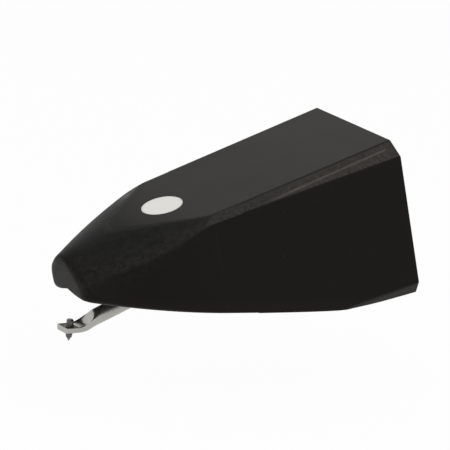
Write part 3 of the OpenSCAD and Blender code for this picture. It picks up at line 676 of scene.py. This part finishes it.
def build_grip():
    """The housing with rounded edges behind and a finely cut nose laid on the rounded form."""
    mesh = merged_housing()
    cut_and_round(mesh)
    kinds, fine = read_kind(mesh, "kind"), read_kind(mesh, "fine")
    corner_vert, corner_face = face_corners(mesh)
    at = to_plug(read(mesh.vertices, "co", 3))
    on_nose = np.zeros(len(at), bool)
    on_nose[corner_vert[fine[corner_face] > 0]] = True
    on_nose &= at[:, 0] < NOSE_X + SEAM[0]
    moving = on_nose & (at[:, 0] < NOSE_X - SEAM[1])
    at[moving] = lay_on_nose(at[moving])
    behind, out, below = RIM_CORNER
    at[(at[:, 0] > behind) & (np.abs(at[:, 1]) > out) & (at[:, 2] < below), 2] += LOW_BEVEL_RISE
    mesh.vertices.foreach_set("co", np.clip(to_row(at), cad_box[0], cad_box[1]).ravel())
    mesh.update()
    mesh.shade_smooth()
    mesh.set_sharp_from_angle(angle=SHARP_GRIP)
    mesh.normals_split_custom_set(corner_normals(mesh, kinds, fine, on_nose).tolist())
    paint_areas(mesh, kinds, at, on_nose)
    for spare in ("kind", "fine"):
        mesh.attributes.remove(mesh.attributes[spare])
    obj = link("grip", mesh)
    assign(obj, grip_plastic())
    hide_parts("housing")
    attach(obj, "root")


build_grip()

# ---------------------------------------------------------------- the cantilever
# Along its own axis, which dips from the plug axis at the pivot: the tube, its wall and rear end
PIVOT_X, DIP, TUBE_R, TUBE_WALL, TUBE_END, RIM_CUT = -9.35, math.radians(5.5), 0.4, 0.09, 0.85, 0.02
# The dished slope: its start, length, number of rings, and the shares of it over which the floor
# comes down and the corners above grow square
DISH_START, DISH_LEN, DISH_RINGS, FLOOR_SHARE, SQUARE_SHARE = -6.52, 1.2, 33, 0.62, 0.8
# The pad: lengths behind and ahead of the shank, half width, thickness, raised rim, squareness
PAD_BACK, PAD_FRONT, PAD_HALF, PAD_T, PAD_RIM, PAD_SQUARE = 0.28, 0.42, 0.49, 0.25, 0.045, 8
# The painted shade in the crease inside each rim, as shares of the half width: its inner and outer edge and
# their blur
CREASE_IN, CREASE_IN_BLUR, CREASE_OUT, CREASE_OUT_BLUR = 0.78, 0.08, 0.985, 0.03
CREASE_ABOVE = 0.02  # it lies at least this far above the outline's middle
CREASE_FROM, CREASE_COMES_IN = 0.12, 0.15  # where it starts on the slope, and over what share
# Rings of the pad: how far ahead of the shank, and how much narrower than the pad
PAD_RINGS = ((-PAD_BACK / 2, 0), (0, 0), (PAD_FRONT - 0.06, 0), (PAD_FRONT - 0.03, 0.008),
             (PAD_FRONT - 0.008, 0.03), (PAD_FRONT, 0.06))


def smooth_step(t):
    """Three t squared less two t cubed, which rises from nought to one and is level at both ends."""
    t = np.clip(t, 0, 1)
    return t * t * (3 - 2 * t)


def pressed_outline(half, square_below, square_above, rim, floor, steps):
    """Outline of the flattening tube, counted from its far side: below, a superellipse that keeps
    the tube's underside; above, a superellipse up to the rims with its middle sunk to the floor."""
    a = np.arange(steps) * 2 * math.pi / steps
    c, s = np.cos(a), np.sin(a)
    power = np.where(s < 0, 2 / square_below, 2 / square_above)
    y = half * np.sign(c) * np.abs(c) ** power
    z = (rim - TUBE_R) / 2 + (rim + TUBE_R) / 2 * np.sign(s) * np.abs(s) ** power
    sink = (rim - floor) * (1 - np.abs(y / half) ** 6) * np.clip(s * 3, 0, 1)
    return y, z - sink


def crease_shade_share(half, y, z, rim, window):
    """How much painted shade the inner edge of a rim gets: a narrow strip of the upper side, just inside
    the wall.
    """
    reach = np.abs(y) / half
    inside = np.clip((reach - CREASE_IN) / CREASE_IN_BLUR, 0, 1)
    outside = np.clip((CREASE_OUT - reach) / CREASE_OUT_BLUR, 0, 1)
    return inside * outside * (z > (rim - TUBE_R) / 2 + CREASE_ABOVE) * window


def cantilever_rings(steps=72):
    """Rings from the bore's blind end, out over the tube's rear rim, along the tube, down the
    dished slope, where the line bends level, and over the pad, whose front corners are rounded."""
    bend, bore_r = TILT + DIP, TUBE_R - TUBE_WALL
    bend_r, top = DISH_LEN / bend, PAD_T - TUBE_R
    circle = np.arange(steps) * 2 * math.pi / steps
    rings, crease_shades = [], []

    def add_ring(x, z, turn, outline, crease_shade):
        y, up = outline
        rings.append(np.stack([x + up * math.sin(turn), y, z + up * math.cos(turn)], axis=1))
        crease_shades.append(crease_shade)

    for x, r in ((DISH_START + TUBE_WALL, bore_r), (TUBE_END - RIM_CUT, bore_r),
                 (TUBE_END, bore_r + RIM_CUT), (TUBE_END, TUBE_R - RIM_CUT),
                 (TUBE_END - RIM_CUT, TUBE_R), (DISH_START + RIM_CUT, TUBE_R)):
        add_ring(x, 0, 0, (r * np.cos(circle), r * np.sin(circle)), np.zeros(steps))
    for t in np.linspace(0, 1, DISH_RINGS):
        press = smooth_step(t)
        half = TUBE_R + (PAD_HALF - TUBE_R) * press
        rim = TUBE_R - press * (TUBE_R - top - PAD_RIM)
        floor = TUBE_R - smooth_step(t / FLOOR_SHARE) * (TUBE_R - top)
        outline = pressed_outline(half, 2 + (PAD_SQUARE - 2) * press ** 2,
                                  2 + (PAD_SQUARE - 2) * smooth_step(t / SQUARE_SHARE), rim, floor, steps)
        window = np.clip((t - CREASE_FROM) / CREASE_COMES_IN, 0, 1)
        add_ring(DISH_START - bend_r * math.sin(bend * t), bend_r * (1 - math.cos(bend * t)), bend * t,
                 outline, crease_shade_share(half, *outline, rim, window))
    for ahead, less in PAD_RINGS:
        half, rim = PAD_HALF - less, top + PAD_RIM
        outline = pressed_outline(half, PAD_SQUARE, PAD_SQUARE, rim - less * 0.4, top, steps)
        along, window = PAD_BACK + ahead, float(ahead < 0.01)
        add_ring(DISH_START - bend_r * math.sin(bend) - along * math.cos(bend),
                 bend_r * (1 - math.cos(bend)) + along * math.sin(bend), bend,
                 outline, crease_shade_share(half, *outline, rim, window))
    return np.stack(rings), np.concatenate(crease_shades)


def build_cantilever():
    """The drawn tube with its pressed end: one closed skin over the rings."""
    rings, crease_shades = cantilever_rings()
    count, steps = rings.shape[:2]
    x, y, z = rings.reshape(-1, 3).T
    c, s = math.cos(DIP), math.sin(DIP)
    points = to_row(np.stack([PIVOT_X + x * c - z * s, y, x * s + z * c], axis=1))
    row, col = np.meshgrid(np.arange(count - 1), np.arange(steps), indexing="ij")
    a, b = (row * steps + col).ravel(), (row * steps + (col + 1) % steps).ravel()
    quads = np.stack([b, a, a + steps, b + steps], axis=1).tolist()
    caps = [list(range(steps)), list(range((count - 1) * steps, count * steps))[::-1]]
    mesh = bpy.data.meshes.new("drawn_cantilever")
    mesh.from_pydata(points.tolist(), [], quads + caps)
    mesh.shade_smooth()
    mesh.set_sharp_from_angle(angle=SHARP_METAL)
    paint(mesh, "crease_shade", "POINT", crease_shades)
    obj = link("drawn_cantilever", mesh)
    assign(obj, cantilever_metal())
    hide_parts("cantilever")
    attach(obj, "cantilever_set")


build_cantilever()

# ---------------------------------------------------------------- stage
FLOOR_Z, FLOOR_HALF, FLOOR_TONE, FLOOR_WHITE = -9.0, 400, 0.82, 0.965
SKY_LIGHT = 0.55


def white_to_camera(net):
    """One for camera, mirror and glass rays, and nought for the rays that light the object."""
    path = net.add("ShaderNodeLightPath")
    return net.math("MAXIMUM", path.outputs["Is Camera Ray"],
                    net.math("MAXIMUM", path.outputs["Is Glossy Ray"], path.outputs["Is Transmission Ray"]))


def make_floor():
    """Pale floor that keeps a share of the object's shadow."""
    half, z = FLOOR_HALF * MM, FLOOR_Z * MM
    mesh = bpy.data.meshes.new("floor")
    mesh.from_pydata([(-half, -half, z), (half, -half, z), (half, half, z), (-half, half, z)], [],
                     [(0, 1, 2, 3)])
    obj = link("floor", mesh)
    mat = bpy.data.materials.new("pale_floor")
    mat.use_nodes = True
    mat.node_tree.nodes.clear()
    net = Net(mat.node_tree)
    mixed = net.add("ShaderNodeMixShader")
    net.feed(mixed.inputs[0], net.product(white_to_camera(net), FLOOR_WHITE))
    net.feed(mixed.inputs[1], net.add("ShaderNodeBsdfDiffuse", {"Color": rgb(FLOOR_TONE)}).outputs[0])
    net.feed(mixed.inputs[2], net.add("ShaderNodeEmission", {"Color": rgb(1.0)}).outputs[0])
    net.feed(net.add("ShaderNodeOutputMaterial").inputs[0], mixed.outputs[0])
    assign(obj, mat)


def make_world():
    """An even sky, white to the camera and in reflections, dimmer as a light."""
    world = bpy.data.worlds.new("studio")
    bpy.context.scene.world = world
    world.use_nodes = True
    world.node_tree.nodes.clear()
    net = Net(world.node_tree)
    back = net.add("ShaderNodeBackground", {"Color": rgb(1.0)})
    net.feed(back.inputs["Strength"], net.blend(white_to_camera(net), SKY_LIGHT, 1.0))
    net.feed(net.add("ShaderNodeOutputWorld").inputs[0], back.outputs[0])


def area_light(name, place, aim, size, power):
    """A square soft light, with its places and size in millimetres."""
    data = bpy.data.lights.new(name, "AREA")
    data.shape = "SQUARE"
    data.size = size * MM
    data.energy = power
    obj = link(name, data)
    obj.location = Vector(place) * MM
    obj.rotation_mode = "QUATERNION"
    obj.rotation_quaternion = (Vector(aim) - Vector(place)).to_track_quat("-Z", "Y")


def make_camera(away=250, aim=(-8.2797, 0.0, -1.3931)):
    """The photograph's viewpoint: in front, to one side and a little above, from far away."""
    data = bpy.data.cameras.new("camera")
    data.lens, data.sensor_width = 410.4, 36.0
    data.shift_x, data.shift_y = 0.0083, 0.0243
    data.clip_start, data.clip_end = 0.01, 5.0
    obj = link("camera", data)
    back = Vector((-0.53354, -0.8065, 0.25463)).normalized()
    right = Vector((0.06344, 0.26206, 0.96297)).cross(back).normalized()
    turn = Matrix((right, back.cross(right), back)).transposed().to_4x4()
    obj.matrix_world = Matrix.Translation((Vector(aim) + back * away) * MM) @ turn
    bpy.context.scene.camera = obj


make_floor()
make_world()
area_light("overhead", place=(-12, -45, 125), aim=(-8, 0, -2), size=110, power=0.075)
make_camera()
bpy.context.scene.view_settings.view_transform = "Standard"
